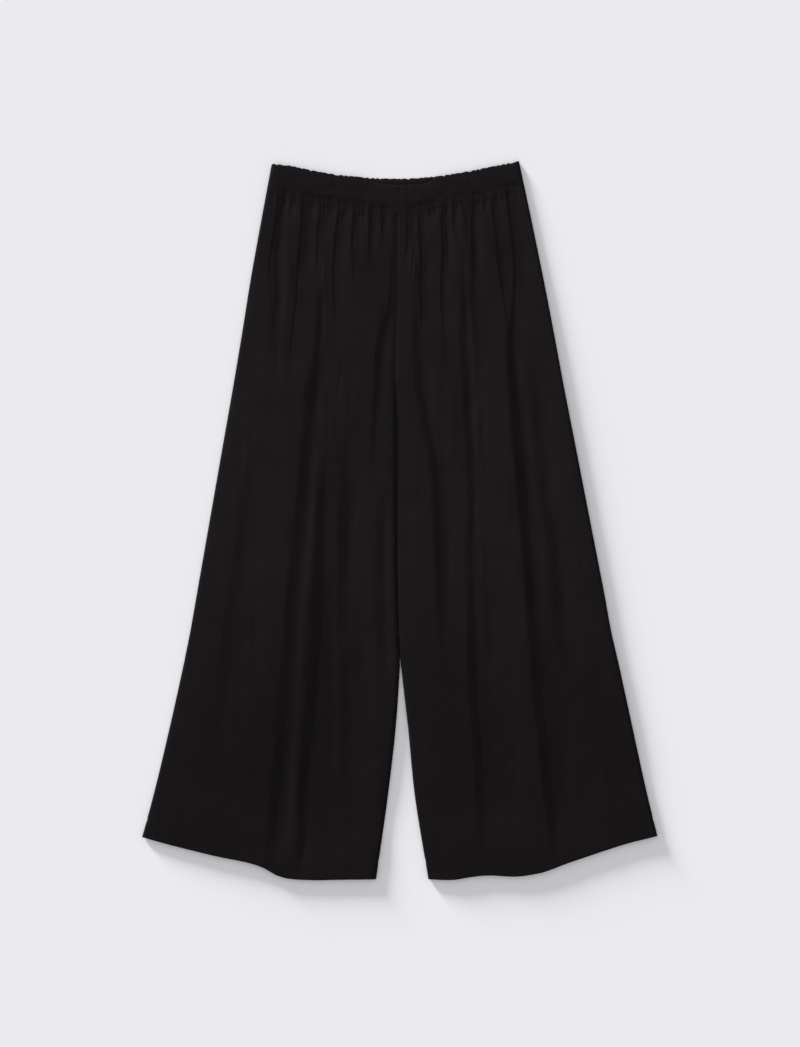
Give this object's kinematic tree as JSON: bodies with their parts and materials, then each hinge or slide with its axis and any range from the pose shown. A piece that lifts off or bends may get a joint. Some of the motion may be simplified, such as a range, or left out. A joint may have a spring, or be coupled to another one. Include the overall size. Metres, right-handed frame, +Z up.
{
  "type": "palazzo pants",
  "caption": "Wide-leg palazzo pants with a gathered elastic waistband, laid flat on their back with the front up.",
  "frame": {"origin": "middle of the outline, on the surface that the trousers lie on", "axes": "+Y runs from the hems to the waist, +X to the wearer's left, +Z up out of the front"},
  "size_m": [0.7464, 1.0411, 0.0103],
  "materials": {
    "crepe": "dull black woven crepe, soft drape",
    "casing": "dull black woven crepe gathered over elastic"
  },
  "bodies": {
    "root": {"waistband_front": "casing", "waistband_back": "casing", "front_leg_left": "crepe", "front_leg_right": "crepe", "back_leg_left": "crepe", "back_leg_right": "crepe"}
  },
  "joints": []
}
